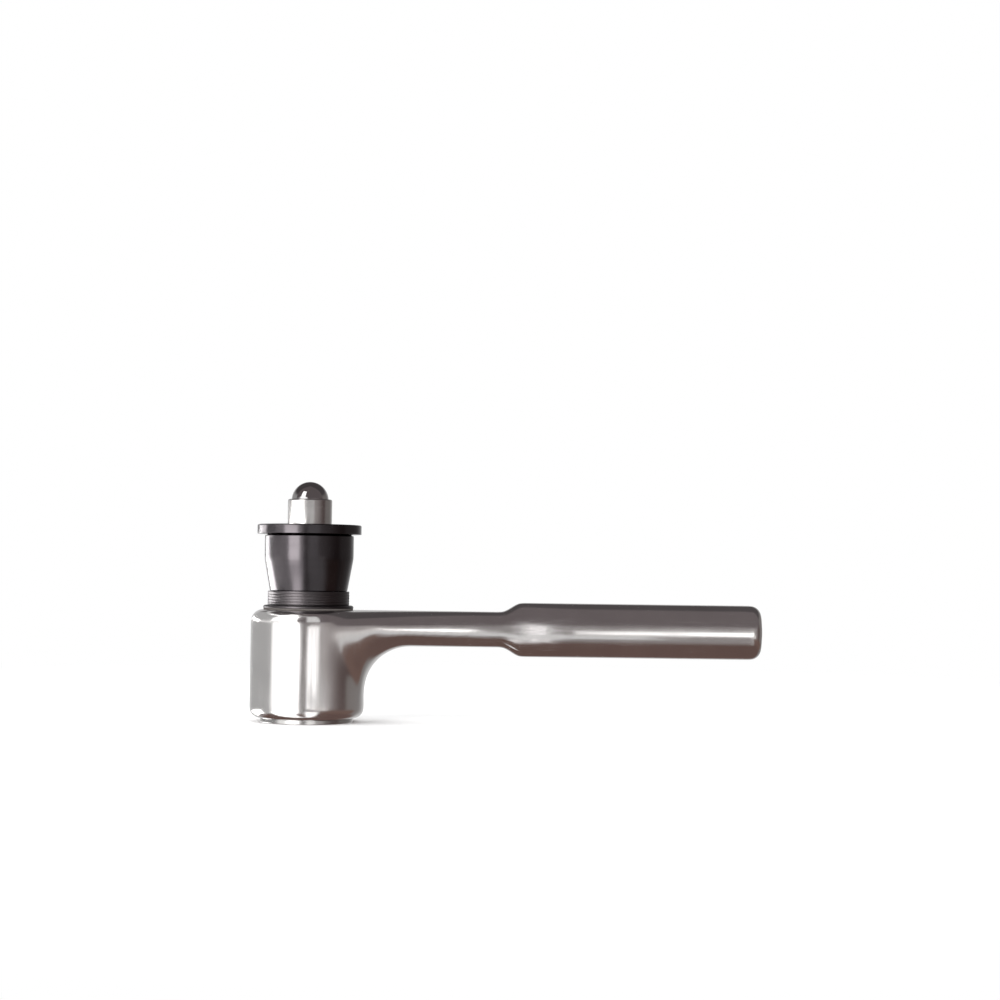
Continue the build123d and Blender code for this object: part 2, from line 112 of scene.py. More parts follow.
# Gap between pieces that fit on each other.
FIT = 0.05
LINER_BORE_R = BARREL_R + FIT
SEAT_R = radius("barrel")
SEAT_BOTTOM = 48.75
SEAT_TOP = 50.0
BARREL_LOWER_BORE_R = 9.55
BARREL_UPPER_BORE_R = 11.05
BARREL_STEP_Z = 58.0
RING_BORE_R = 14.25
O_RING_LOW = 39.8
O_RING_HIGH = 41.8
O_RING_FLOOR_R = BARREL_R - 1.4
O_RING_R = BARREL_R + 0.025
SHOULDER_Z = 62.0
CUP_FOOT_R = 16.6
CUP_R = radius("cup_sleeve")
CUP_TOP = top("cup_sleeve")
CUP_SHOULDER_Z = 70.2
CUP_SHOULDER_ROUND = 16.0
CAP_HUB_R = 15.5
CAP_HUB_BOTTOM = bottom("cap_flange")
CAP_BOTTOM = top("barrel")
CAP_BORE_R = radius("striker_bush")
STRIKER_R = 9.5
STRIKER_SHOULDER_BOTTOM = 64.0
STRIKER_SHOULDER_TOP = 68.0
SHANK_R = 6.0
SHEAR_PIN_Z = centre("shear_pin")
PORT_R = 2.1
GUIDE_SCREW_Z = centre("guide_screw")
GUIDE_SCREW_R = 2.0
SOLE_SCREW_CIRCLE_R = 15.75
SOLE_SCREW_R = 1.5
SOLE_SCREW_HEAD_R = 2.75
SHEAR_PIN_HOLE_R = 1.79
SHEAR_PIN_CHAMFER = 0.4
CIRCLIP_LOW = 10.4
CIRCLIP_HIGH = 11.5
CIRCLIP_GROOVE_R = 10.5
SPANNER_CIRCLE_R = 17.0
RIB_DEPTH = 0.13
SPANNER_HOLE_R = 2.0
SOLE_R = radius("sole_ring")
SPRING_R = 8.2
SPRING_WIRE_R = 0.65
SPRING_TURNS = 5.0
# Points of a mesh that are closer than this become one, in metres.
WELD = 1e-6


# ---- node helpers ----

def give(tree, socket, value):
    """Links an input to a socket or to a node's first output, or sets it to a plain value."""
    if isinstance(value, bpy.types.Node):
        value = value.outputs[0]
    if isinstance(value, bpy.types.NodeSocket):
        tree.links.new(value, socket)
    else:
        socket.default_value = value


def add_node(tree, kind, settings=None, **inputs):
    """A node of that kind. settings are its own options. inputs are values, sockets or nodes, by name."""
    node = tree.nodes.new(kind)
    for option, value in (settings or {}).items():
        setattr(node, option, value)
    for socket_name, value in inputs.items():
        give(tree, node.inputs[socket_name.replace("_", " ")], value)
    return node


def math_node(tree, operation, first, second=0.0, third=0.0):
    """Output of a Math node."""
    node = tree.nodes.new("ShaderNodeMath")
    node.operation = operation
    for socket, value in zip(node.inputs, (first, second, third)):
        give(tree, socket, value)
    return node.outputs[0]


def plus(tree, first, second):
    return math_node(tree, "ADD", first, second)


def minus(tree, first, second):
    return math_node(tree, "SUBTRACT", first, second)


def times(tree, first, second):
    return math_node(tree, "MULTIPLY", first, second)


def vector(tree, **lengths):
    """A vector from its X, Y and Z."""
    return add_node(tree, "ShaderNodeCombineXYZ", **lengths).outputs["Vector"]


def parts(tree, place):
    """X, Y and Z of a vector, by name."""
    return add_node(tree, "ShaderNodeSeparateXYZ", Vector=place).outputs


def axis_distance(tree, x, y):
    """Distance from the head's axis."""
    return math_node(tree, "SQRT", plus(tree, times(tree, x, x), times(tree, y, y)))


def new_material(name, **shader_values):
    """A material with one Principled shader. Returns the material, its tree and the shader."""
    material = bpy.data.materials.new(name)
    material.use_nodes = True
    tree = material.node_tree
    shader = tree.nodes["Principled BSDF"]
    for socket_name, value in shader_values.items():
        shader.inputs[socket_name.replace("_", " ")].default_value = value
    return material, tree, shader


def remap(tree, value, low_out, high_out, low_in=0.35, high_in=0.65):
    """A 0 to 1 pattern stretched to the range between two values."""
    node = add_node(tree, "ShaderNodeMapRange", Value=value, From_Min=low_in, From_Max=high_in,
                    To_Min=low_out, To_Max=high_out)
    return node.outputs["Result"]


def tint(tree, factor, first, second):
    """A colour between two, by a 0 to 1 pattern."""
    ramp = add_node(tree, "ShaderNodeValToRGB", Fac=factor)
    ramp.color_ramp.elements[0].position = 0.3
    ramp.color_ramp.elements[0].color = (*first, 1)
    ramp.color_ramp.elements[1].position = 0.7
    ramp.color_ramp.elements[1].color = (*second, 1)
    return ramp.outputs["Color"]


def noise(tree, place, scale, detail=2.0, roughness=0.5):
    """Output of a Noise texture."""
    node = add_node(tree, "ShaderNodeTexNoise", Vector=place, Scale=scale, Detail=detail,
                    Roughness=roughness)
    return node.outputs["Fac"]


def stretched(tree, place, stretch):
    """Coordinates scaled apart, so that a pattern runs in streaks."""
    return add_node(tree, "ShaderNodeMapping", Vector=place, Scale=stretch).outputs["Vector"]


def soft_step(tree, value, start, end):
    """0 before start and 1 after end, with a soft change between."""
    return add_node(tree, "ShaderNodeMapRange", {"interpolation_type": "SMOOTHSTEP"}, Value=value,
                    From_Min=start, From_Max=end).outputs["Result"]


def mingled(tree, first, second, share):
    """Two patterns in one: a share of the first, and the rest of the second."""
    return math_node(tree, "MULTIPLY_ADD", first, share, times(tree, second, 1 - share))


def object_coordinates(tree):
    return add_node(tree, "ShaderNodeTexCoord").outputs["Object"]


def turned_coordinates(tree):
    """(distance from the axis, height, 0): a pattern on them runs round a turned piece."""
    place = parts(tree, object_coordinates(tree))
    return vector(tree, X=axis_distance(tree, place["X"], place["Y"]), Y=place["Z"])


def dress(tree, shader, colour, roughness, relief, depth):
    """Gives a surface its colour, roughness and fine relief, with the relief's depth in millimetres."""
    give(tree, shader.inputs["Base Color"], colour)
    give(tree, shader.inputs["Roughness"], roughness)
    bump = add_node(tree, "ShaderNodeBump", Height=relief, Distance=depth * MM, Strength=1.0)
    give(tree, shader.inputs["Normal"], bump)


# ---- materials ----

def polished_casting():
    """Light-alloy casting, linished by hand: up and down on the head, lengthwise on the handle."""
    material, tree, shader = new_material("polished_casting", Metallic=1.0)
    place = object_coordinates(tree)
    x = parts(tree, place)["X"]
    on_handle = soft_step(tree, x, 22 * MM, 32 * MM)
    upright = noise(tree, stretched(tree, place, (1400, 1400, 40)), 1.0, 3.0)
    lengthwise = noise(tree, stretched(tree, place, (40, 1400, 1400)), 1.0, 3.0)
    streaks = add_node(tree, "ShaderNodeMix", Factor=on_handle, A=upright, B=lengthwise).outputs["Result"]
    cloud = noise(tree, place, 60.0, 3.0)
    colour = tint(tree, cloud, (0.80, 0.78, 0.77), (0.86, 0.84, 0.83))
    roughness = remap(tree, mingled(tree, streaks, cloud, 0.6), 0.12, 0.22)
    dress(tree, shader, colour, roughness, streaks, 0.003)
    return material


def turned_steel(name, dark, light, roughness, depth=0.002):
    """Turned or ground metal: fine rings round the axis, on the sides and on the faces. roughness is its
    range, and depth is the rings', in millimetres."""
    material, tree, shader = new_material(name, Metallic=1.0)
    rings = turned_coordinates(tree)
    fine = noise(tree, rings, 3800.0, 3.0, 0.6)
    broad = noise(tree, rings, 500.0, 2.0)
    cloud = noise(tree, object_coordinates(tree), 90.0, 3.0)
    colour = tint(tree, mingled(tree, broad, cloud, 0.4), dark, light)
    dress(tree, shader, colour, remap(tree, mingled(tree, fine, cloud, 0.6), *roughness), fine, depth)
    return material


def grained(name, dark, light, roughness, scale, depth, **shader_values):
    """A grained surface, such as rubber or fibre."""
    material, tree, shader = new_material(name, **shader_values)
    place = object_coordinates(tree)
    grain = noise(tree, place, scale, 4.0, 0.6)
    wear = remap(tree, noise(tree, place, scale / 4), *roughness)
    dress(tree, shader, tint(tree, grain, dark, light), wear, grain, depth)
    return material


casting = polished_casting()
black_steel = turned_steel("black_oxide_steel", (0.064, 0.058, 0.061), (0.082, 0.074, 0.079), (0.17, 0.26),
                           depth=0.0012)
satin_black = turned_steel("satin_black_steel", (0.085, 0.077, 0.080), (0.110, 0.100, 0.104), (0.34, 0.44))
bright_steel = turned_steel("bright_turned_steel", (0.58, 0.56, 0.55), (0.68, 0.66, 0.65), (0.16, 0.27))
sole_steel = turned_steel("hardened_sole_steel", (0.50, 0.49, 0.48), (0.60, 0.59, 0.58), (0.16, 0.28))
ball_steel = turned_steel("polished_ball_steel", (0.54, 0.52, 0.52), (0.60, 0.58, 0.58), (0.04, 0.08),
                          depth=0.0003)
carbide = turned_steel("lapped_carbide", (0.33, 0.33, 0.34), (0.38, 0.38, 0.39), (0.04, 0.08), depth=0.0003)
bronze = turned_steel("bearing_bronze", (0.56, 0.34, 0.14), (0.66, 0.42, 0.19), (0.22, 0.34))
spring_steel = turned_steel("spring_wire", (0.34, 0.33, 0.33), (0.44, 0.43, 0.42), (0.22, 0.34))
screw_steel = turned_steel("screw_steel", (0.050, 0.048, 0.050), (0.080, 0.077, 0.080), (0.26, 0.38))
rubber = grained("black_rubber", (0.012, 0.012, 0.013), (0.022, 0.022, 0.023), (0.50, 0.70), 4000.0, 0.01)
buffer_rubber = grained("amber_polyurethane", (0.55, 0.30, 0.05), (0.66, 0.38, 0.08), (0.35, 0.50), 900.0,
                        0.004, Subsurface_Weight=0.15)
fibre = grained("gasket_fibre", (0.10, 0.09, 0.085), (0.17, 0.155, 0.145), (0.75, 0.9), 5000.0, 0.02)

FINISH = {
    "holder_metal": casting,
    "sole_steel": sole_steel,
    "screw_steel": screw_steel,
    "black_steel": black_steel,
    "bright_steel": bright_steel,
    "polished_steel": ball_steel,
    "carbide": carbide,
    "bronze": bronze,
    "spring_steel": spring_steel,
    "rubber": rubber,
    "buffer_polyurethane": buffer_rubber,
    "gasket_fibre": fibre,
}
for cad_object in nodes.values():
    for material_slot in cad_object.material_slots:
        material_slot.material = FINISH[material_slot.material.name.split(".")[0]]


# ---- geometry node trees ----

def new_tree(name, inputs):
    """A geometry node tree with a geometry input and output, named inputs as (name, type, default), and an
    input for the material."""
    tree = bpy.data.node_groups.new(name, "GeometryNodeTree")
    tree.interface.new_socket("Geometry", in_out="INPUT", socket_type="NodeSocketGeometry")
    for input_name, kind, default in (*inputs, ("Material", "Material", None)):
        socket = tree.interface.new_socket(input_name, in_out="INPUT", socket_type="NodeSocket" + kind)
        if default is not None:
            socket.default_value = default
    tree.interface.new_socket("Geometry", in_out="OUTPUT", socket_type="NodeSocketGeometry")
    return tree, tree.nodes.new("NodeGroupInput").outputs


def end_tree(tree, geometry, material):
    """Realize Instances and Set Material, and out."""
    real = add_node(tree, "GeometryNodeRealizeInstances", Geometry=geometry)
    painted = add_node(tree, "GeometryNodeSetMaterial", Geometry=real, Material=material)
    add_node(tree, "NodeGroupOutput", Geometry=painted)
    return tree


def new_object(name, data):
    """An object in the scene."""
    thing = bpy.data.objects.new(name, data)
    scene.collection.objects.link(thing)
    return thing


def grown(name, tree, start_mesh, material, crease=35, **values):
    """The plain mesh object that a tree makes from a starting mesh. values are its inputs by name."""
    piece = new_object(name, start_mesh)
    modifier = piece.modifiers.new("grow", "NODES")
    modifier.node_group = tree
    sockets = {s.name: s.identifier for s in tree.interface.items_tree if s.in_out == "INPUT"}
    modifier[sockets["Material"]] = material
    for input_name, value in values.items():
        modifier[sockets[input_name.replace("_", " ")]] = value
    return applied(piece, crease)


def made_real(piece):
    """The piece's mesh as its modifiers make it, now its own, with the modifiers taken off."""
    bpy.context.view_layer.update()
    mesh = bpy.data.meshes.new_from_object(piece.evaluated_get(bpy.context.evaluated_depsgraph_get()))
    piece.modifiers.clear()
    piece.data = mesh
    return mesh


def applied(piece, crease=35):
    """The piece with its modifiers made real, closed, facing outwards and smooth up to the crease angle."""
    mesh = made_real(piece)
    shell = bmesh.new()
    shell.from_mesh(mesh)
    bmesh.ops.remove_doubles(shell, verts=shell.verts, dist=WELD)
    loose = [edge for edge in shell.edges if not edge.link_faces]
    bmesh.ops.delete(shell, geom=loose, context="EDGES")
    bmesh.ops.recalc_face_normals(shell, faces=shell.faces)
    shell.to_mesh(mesh)
    shell.free()
    mesh.shade_smooth()
    mesh.set_sharp_from_angle(angle=math.radians(crease))
    flats = piece.modifiers.new("keep_flats_flat", "WEIGHTED_NORMAL")
    flats.keep_sharp = True
    made_real(piece)
    return piece


def revolved(tree, section, segments):
    """The mesh that a closed half-section (radius along X, height along Y) makes round the Z axis."""
    # The circle that carries the section has a radius of 1 mm, so the section moves in by as much.
    carrier_r = 1 * MM
    shifted = add_node(tree, "GeometryNodeTransform", Geometry=section, Translation=(-carrier_r, 0, 0),
                       Scale=(1, -1, 1))
    carrier = add_node(tree, "GeometryNodeCurvePrimitiveCircle", {"mode": "RADIUS"}, Radius=carrier_r,
                       Resolution=segments)
    swept = add_node(tree, "GeometryNodeCurveToMesh", Curve=carrier,
                     Profile_Curve=shifted)
    return add_node(tree, "GeometryNodeMergeByDistance", Geometry=swept,
                    Distance=WELD).outputs["Geometry"]


def rounded_section(tree, outline_mesh, steps):
    """The section's outline with each corner rounded by its own radius."""
    outline = add_node(tree, "GeometryNodeMeshToCurve", Mesh=outline_mesh)
    corner = add_node(tree, "GeometryNodeInputNamedAttribute", {"data_type": "FLOAT"}, Name="round")
    return add_node(tree, "GeometryNodeFilletCurve", {"mode": "POLY"}, Curve=outline,
                    Count=steps, Radius=corner, Limit_Radius=True).outputs["Curve"]


def turned_piece_tree():
    """A half-section with rounded corners, turned round the Z axis."""
    tree, given = new_tree("turned_piece", [
        ("Segments", "Int", 160),
        ("Round Steps", "Int", 5),
    ])
    section = rounded_section(tree, given["Geometry"], given["Round Steps"])
    return end_tree(tree, revolved(tree, section, given["Segments"]), given["Material"])


def ribbed_ring_tree():
    """A square ring section whose outer side gets a row of soft ribs, turned round the Z axis."""
    tree, given = new_tree("ribbed_ring", [
        ("Outer Radius", "Float", 0.0175),
        ("Bottom", "Float", 0.0501),
        ("Top", "Float", 0.056),
        ("Ribs", "Int", 5),
        ("Rib Depth", "Float", 0.0004),
        ("Cuts Per Side", "Int", 69),
        ("Segments", "Int", 160),
    ])
    outline = add_node(tree, "GeometryNodeMeshToCurve", Mesh=given["Geometry"])
    fine = add_node(tree, "GeometryNodeSubdivideCurve", Curve=outline,
                    Cuts=given["Cuts Per Side"])
    place = parts(tree, tree.nodes.new("GeometryNodeInputPosition"))
    rise = minus(tree, place["Y"], given["Bottom"])
    share = math_node(tree, "DIVIDE", rise, minus(tree, given["Top"], given["Bottom"]))
    turn = times(tree, times(tree, share, given["Ribs"]), math.tau)
    wave = math_node(tree, "MULTIPLY_ADD", math_node(tree, "COSINE", turn), 0.5, 0.5)
    groove = times(tree, math_node(tree, "POWER", wave, 2.2), given["Rib Depth"])
    outer = math_node(tree, "GREATER_THAN", place["X"], minus(tree, given["Outer Radius"], 0.01 * MM))
    ribbed = add_node(tree, "GeometryNodeSetPosition", Geometry=fine, Selection=outer,
                      Offset=vector(tree, X=times(tree, groove, -1.0)))
    return end_tree(tree, revolved(tree, ribbed, given["Segments"]), given["Material"])


def screw_circle_tree():
    """A turned screw with a hexagon socket, set a number of times on a circle."""
    tree, given = new_tree("screw_circle", [
        ("Count", "Int", 4),
        ("Circle Radius", "Float", 0.01575),
        ("First Angle", "Float", math.radians(45)),
        ("Face Height", "Float", 0.0001),
        ("Socket Radius", "Float", 0.00115),
        ("Socket Depth", "Float", 0.001),
        ("Round Steps", "Int", 4),
        ("Segments", "Int", 40),
    ])
    section = rounded_section(tree, given["Geometry"], given["Round Steps"])
    screw = revolved(tree, section, given["Segments"])
    hexagon = add_node(tree, "GeometryNodeMeshCylinder", Vertices=6, Radius=given["Socket Radius"],
                       Depth=times(tree, given["Socket Depth"], 2.0))
    socket = add_node(tree, "GeometryNodeTransform", Geometry=hexagon,
                      Translation=vector(tree, Z=given["Face Height"]))
    hollow = tree.nodes.new("GeometryNodeMeshBoolean")
    give(tree, hollow.inputs[0], screw)
    give(tree, hollow.inputs[1], socket)
    circle = add_node(tree, "GeometryNodeMeshCircle", Vertices=given["Count"], Radius=given["Circle Radius"])
    places = add_node(tree, "GeometryNodeTransform", Geometry=circle,
                      Rotation=vector(tree, Z=given["First Angle"]))
    screws = add_node(tree, "GeometryNodeInstanceOnPoints", Points=places,
                      Instance=hollow)
    return end_tree(tree, screws, given["Material"])


def coil_spring_tree():
    """A round-wire spring whose end turns lie closed and are ground flat."""
    tree, given = new_tree("coil_spring", [
        ("Coil Radius", "Float", 0.0082),
        ("Wire Radius", "Float", 0.00065),
        ("Turns", "Float", 5.0),
        ("Bottom", "Float", 0.0173),
        ("Top", "Float", 0.031),
        ("Steps Per Turn", "Int", 56),
        ("Wire Sides", "Int", 16),
    ])
    height = minus(tree, given["Top"], given["Bottom"])
    spiral = add_node(tree, "GeometryNodeCurveSpiral", Resolution=given["Steps Per Turn"],
                      Rotations=given["Turns"], Start_Radius=given["Coil Radius"],
                      End_Radius=given["Coil Radius"], Height=height)
    turns_done = times(tree, tree.nodes.new("GeometryNodeSplineParameter"), given["Turns"])
    closed_rise = times(tree, given["Wire Radius"], 2.0)
    open_turns = minus(tree, given["Turns"], 2.0)
    open_height = minus(tree, height, times(tree, closed_rise, 2.0))
    after_first = minus(tree, turns_done, 1.0)
    first = math_node(tree, "MINIMUM", turns_done, 1.0)
    middle = math_node(tree, "MINIMUM", math_node(tree, "MAXIMUM", after_first, 0.0), open_turns)
    last = math_node(tree, "MAXIMUM", minus(tree, after_first, open_turns), 0.0)
    closed_part = times(tree, plus(tree, first, last), closed_rise)
    open_part = times(tree, math_node(tree, "DIVIDE", middle, open_turns), open_height)
    level = plus(tree, given["Bottom"], plus(tree, closed_part, open_part))
    place = parts(tree, tree.nodes.new("GeometryNodeInputPosition"))
    coil = add_node(tree, "GeometryNodeSetPosition", Geometry=spiral,
                    Position=vector(tree, X=place["X"], Y=place["Y"], Z=level))
    wire = add_node(tree, "GeometryNodeCurvePrimitiveCircle", {"mode": "RADIUS"}, Radius=given["Wire Radius"],
                    Resolution=given["Wire Sides"])
    rod = add_node(tree, "GeometryNodeCurveToMesh", Curve=coil,
                   Profile_Curve=wire, Fill_Caps=True)
    drum = add_node(tree, "GeometryNodeMeshCylinder", Vertices=64,
                    Radius=times(tree, given["Coil Radius"], 1.5), Depth=height)
    middle_height = times(tree, plus(tree, given["Bottom"], given["Top"]), 0.5)
    between = add_node(tree, "GeometryNodeTransform", Geometry=drum,
                       Translation=vector(tree, Z=middle_height))
    ground = tree.nodes.new("GeometryNodeMeshBoolean")
    ground.operation = "INTERSECT"
    give(tree, ground.inputs[1], rod)
    give(tree, ground.inputs[1], between)
    return end_tree(tree, ground, given["Material"])


TURNED_PIECE = turned_piece_tree()
RIBBED_RING = ribbed_ring_tree()
SCREW_CIRCLE = screw_circle_tree()
COIL_SPRING = coil_spring_tree()


def section_mesh(name, corners):
    """Outline of a half-section from (radius, height, corner round) points, in millimetres."""
    mesh = bpy.data.meshes.new(name + "_section")
    count = len(corners)
    edges = [(i, (i + 1) % count) for i in range(count)]
    mesh.from_pydata([(r * MM, z * MM, 0) for r, z, _ in corners], edges, [])
    rounds = mesh.attributes.new("round", "FLOAT", "POINT")
    rounds.data.foreach_set("value", [corner_round * MM for _, _, corner_round in corners])
    return mesh


def turned(name, corners, material, **values):
    """A turned piece from (radius, height, corner round) points, in millimetres, of its half-section."""
    return grown(name, TURNED_PIECE, section_mesh(name, corners), material, **values)


def lying(piece, centre_z):
    """The piece with its axis turned from Z to X, at a height in millimetres."""
    quarter_turn = Matrix.Rotation(math.radians(90), 4, "Y")
    piece.data.transform(Matrix.Translation((0, 0, centre_z * MM)) @ quarter_turn)
    return piece


def arc(centre_r, centre_z, arc_r, start, end, steps):
    """Section points on an arc; angles in degrees from the outward direction."""
    points = []
    for i in range(steps + 1):
        angle = math.radians(start + (end - start) * i / steps)
        points.append((max(0.0, centre_r + arc_r * math.cos(angle)), centre_z + arc_r * math.sin(angle), 0))
    return points


def put(piece, body, slot, *replaced):
    """The finished piece rides on its body, and stands for the CAD nodes it replaces."""
    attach(piece, body)
    if replaced:
        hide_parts(*replaced)
    return piece


# ---- mesh helpers ----

def mesh_piece(name, shape, material=None):
    """An object from a bmesh."""
    mesh = bpy.data.meshes.new(name)
    shape.to_mesh(mesh)
    shape.free()
    if material:
        mesh.materials.append(material)
    return new_object(name, mesh)


def add_cylinder(shape, cylinder_r, start, end, sides=96, end_r=None):
    """A closed cylinder or cone between two points, in millimetres."""
    start, end = Vector(start) * MM, Vector(end) * MM
    run = end - start
    turn = Vector((0, 0, 1)).rotation_difference(run.normalized()).to_matrix().to_4x4()
    bmesh.ops.create_cone(shape, cap_ends=True, segments=sides, radius1=cylinder_r * MM,
                          radius2=(cylinder_r if end_r is None else end_r) * MM, depth=run.length,
                          matrix=Matrix.Translation((start + end) / 2) @ turn)


def drilled(piece, holes, crease=35):
    """Takes cylinders and cones out of the piece. Each is (radius, start, end), and a cone's end radius."""
    for hole in holes:
        drill = bmesh.new()
        add_cylinder(drill, *hole[:3], sides=64, end_r=hole[3] if len(hole) > 3 else None)
        cutter = mesh_piece("cutter", drill)
        modifier = piece.modifiers.new("drill", "BOOLEAN")
        modifier.operation = "DIFFERENCE"
        modifier.solver = "EXACT"
        modifier.object = cutter
        applied(piece, crease)
        bpy.data.objects.remove(cutter)
    return piece


def on_circle(circle_r, count, first_degrees):
    """(x, y) places on a circle, in millimetres."""
    angles = [math.radians(first_degrees + 360 * i / count) for i in range(count)]
    return [(circle_r * math.cos(angle), circle_r * math.sin(angle)) for angle in angles]


# ---- holder ----

def eased(value):
    """0 to 1 with a soft start and end."""
    value = max(0.0, min(1.0, value))
    return value * value * (3 - 2 * value)


def handle_size(x):
    """Half width, half height and power (squareness) of the handle's section at a distance from the axis."""
    side_r = (NECK_X**2 - HEAD_R**2 + NECK_HALF_W**2) / (2 * (HEAD_R - NECK_HALF_W))
    run = max(0.0, NECK_X - x)
    half_w = NECK_HALF_W + side_r - math.sqrt(side_r**2 - run**2)
    half_h = (HEAD_TOP - ARM_BOTTOM) / 2
    flare = eased((x - FLARE_START_X) / (FLARE_END_X - FLARE_START_X))
    half_w += eased((x - FLARE_START_X) / GRIP_WIDENING) * (GRIP_HALF_W - NECK_HALF_W)
    half_h += flare * (GRIP_HALF_H - half_h)
    into_end = max(0.0, x - (GRIP_END - GRIP_END_ROUND))
    inset = GRIP_END_ROUND - math.sqrt(GRIP_END_ROUND**2 - into_end**2)
    return half_w - inset, half_h - inset, ARM_POWER - GRIP_POWER_DROP * flare


def web_depth(x):
    """How far the web under the arm reaches below the grip's axis at a distance from the axis of the head."""
    run = min(GUSSET_R, max(0.0, GUSSET_END_X - x))
    return GRIP_Z - ARM_BOTTOM + GUSSET_R - math.sqrt(GUSSET_R**2 - run**2)


def add_handle(shape):
    """Arm and grip: oval sections from inside the head to the grip's rounded end. The lower half of the
    sections near the head deepens into the web."""
    around = 96
    round_start = GRIP_END - GRIP_END_ROUND
    # Inside the head, under the web's curve, along the arm and grip, and round the end.
    stations = [11.0, 14.0, 17.0, 20.0, HEAD_R - 1.5, HEAD_R - 0.6]
    stations += [GUSSET_END_X - GUSSET_R * math.cos(math.radians(3 * i)) for i in range(31)]
    step_x = GUSSET_END_X + STATION_STEP
    while step_x < round_start - 0.5:
        stations.append(step_x)
        step_x += STATION_STEP
    stations += [GRIP_END - GRIP_END_ROUND * (1 - math.sin(math.radians(10 * i))) for i in range(10)]
    rings = []
    for x in stations:
        half_w, half_h, power = handle_size(x)
        depth = max(half_h, web_depth(x))
        low_power = power - WEB_POWER_DROP * eased((depth - half_h) / WEB_POWER_RUN)
        ring = []
        for i in range(around):
            angle = math.tau * i / around
            across, up = math.cos(angle), math.sin(angle)
            bend, reach = (low_power, depth) if up < 0 else (power, half_h)
            y = math.copysign(abs(across) ** (2 / bend), across) * half_w
            z = math.copysign(abs(up) ** (2 / bend), up) * reach + GRIP_Z
            ring.append(shape.verts.new((x * MM, y * MM, z * MM)))
        rings.append(ring)
    for ring, following in zip(rings, rings[1:]):
        for i in range(around):
            j = (i + 1) % around
            shape.faces.new((ring[i], ring[j], following[j], following[i]))
    shape.faces.new(rings[0][::-1])
    shape.faces.new(rings[-1])


def add_head(shape):
    """The round head, without its bores."""
    outline = [(0, HEAD_BOTTOM, 0)]
    outline += arc(HEAD_R - BOTTOM_ROUND, HEAD_BOTTOM + BOTTOM_ROUND, BOTTOM_ROUND, -90, 0, 8)
    outline += arc(HEAD_R - TOP_ROUND, HEAD_TOP - TOP_ROUND, TOP_ROUND, 0, 90, 8)
    outline.append((0, HEAD_TOP, 0))
    profile = [shape.verts.new((r * MM, 0, z * MM)) for r, z, _ in outline]
    edges = [shape.edges.new(pair) for pair in zip(profile, profile[1:])]
    bmesh.ops.spin(shape, geom=profile + edges, cent=(0, 0, 0), axis=(0, 0, 1), angle=math.tau, steps=160,
                   use_duplicate=False)
    bmesh.ops.remove_doubles(shape, verts=shape.verts, dist=WELD)


def meeting_share(x, y, z):
    """How much a point of the skin takes part in the blend: 1 where the handle meets the head, 0 elsewhere.
    Each pair is where the share starts to grow and over what run, in millimetres."""
    beyond = math.hypot(x, y) - HEAD_R
    share = 1.0
    for place, start, run in (
        (x, 6, 8),
        (beyond, -5, 6),
        (x, 56, -14),
        (z, 7, 7),
        (z, HEAD_TOP - 5, -6),
        (beyond, 14, -10),
    ):
        share *= eased((place - start) / run)
    return share


def smoothed(piece, name, iterations):
    """Adds a Smooth modifier of half strength."""
    modifier = piece.modifiers.new(name, "SMOOTH")
    modifier.factor = 0.5
    modifier.iterations = iterations
    return modifier


def holder_casting():
    """Head and handle, grown into one skin, relaxed where they meet and then bored."""
    skin = bmesh.new()
    add_head(skin)
    add_handle(skin)
    bmesh.ops.recalc_face_normals(skin, faces=skin.faces)
    piece = mesh_piece("holder_casting", skin, casting)
    remesh = piece.modifiers.new("grow_together", "REMESH")
    remesh.mode = "VOXEL"
    remesh.voxel_size = GRAIN * MM
    applied(piece)
    corner = piece.vertex_groups.new(name="meeting")
    for point in piece.data.vertices:
        share = meeting_share(*(point.co / MM))
        if share > 0:
            corner.add([point.index], share, "REPLACE")
    smoothed(piece, "blend", 150).vertex_group = corner.name
    smoothed(piece, "relax", 14)
    applied(piece)
    piece.vertex_groups.clear()
    bores = [
        (NOSE_BORE_R, (0, 0, -5), (0, 0, LINER_BOTTOM + 1)),
        (LINER_R, (0, 0, LINER_BOTTOM), (0, 0, HEAD_TOP + 5)),
        (GRIP_BORE_R, (GRIP_BORE_X, 0, GRIP_Z), (GRIP_END + 5, 0, GRIP_Z)),
    ]
    bores += [(SOLE_SCREW_R, (x, y, -1), (x, y, 8)) for x, y in on_circle(SOLE_SCREW_CIRCLE_R, 4, 45)]
    return drilled(piece, bores)


put(holder_casting(), "holder", "holder_metal", "holder_body")

plug_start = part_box("grip_plug")[0].x / MM
dimple_floor = GRIP_END - 0.9
plug = turned("end_plug", [
    (0, plug_start, 0),
    (GRIP_BORE_R, plug_start, 0.4),
    (GRIP_BORE_R, GRIP_END, 0.9),
    (2.2, GRIP_END, 0.3),
    (1.4, dimple_floor, 0),
    (0, dimple_floor, 0),
], casting, Segments=96)
put(lying(plug, GRIP_Z), "holder", "holder_metal", "grip_plug")

sole = turned("sole_wear_ring", [
    (NOSE_BORE_R, 0, 0.3),
    (SOLE_R, 0, 0.35),
    (SOLE_R, HEAD_BOTTOM, 0.15),
    (NOSE_BORE_R, HEAD_BOTTOM, 0),
], sole_steel)
seat_r = SOLE_SCREW_HEAD_R + 0.1
seats = []
for x, y in on_circle(SOLE_SCREW_CIRCLE_R, 4, 45):
    seats.append((seat_r + 0.5, (x, y, -0.5), (x, y, seat_r - SOLE_SCREW_R), SOLE_SCREW_R))
    seats.append((SOLE_SCREW_R, (x, y, -0.5), (x, y, HEAD_BOTTOM + 0.5)))
put(drilled(sole, seats), "holder", "sole_steel", "sole_ring")

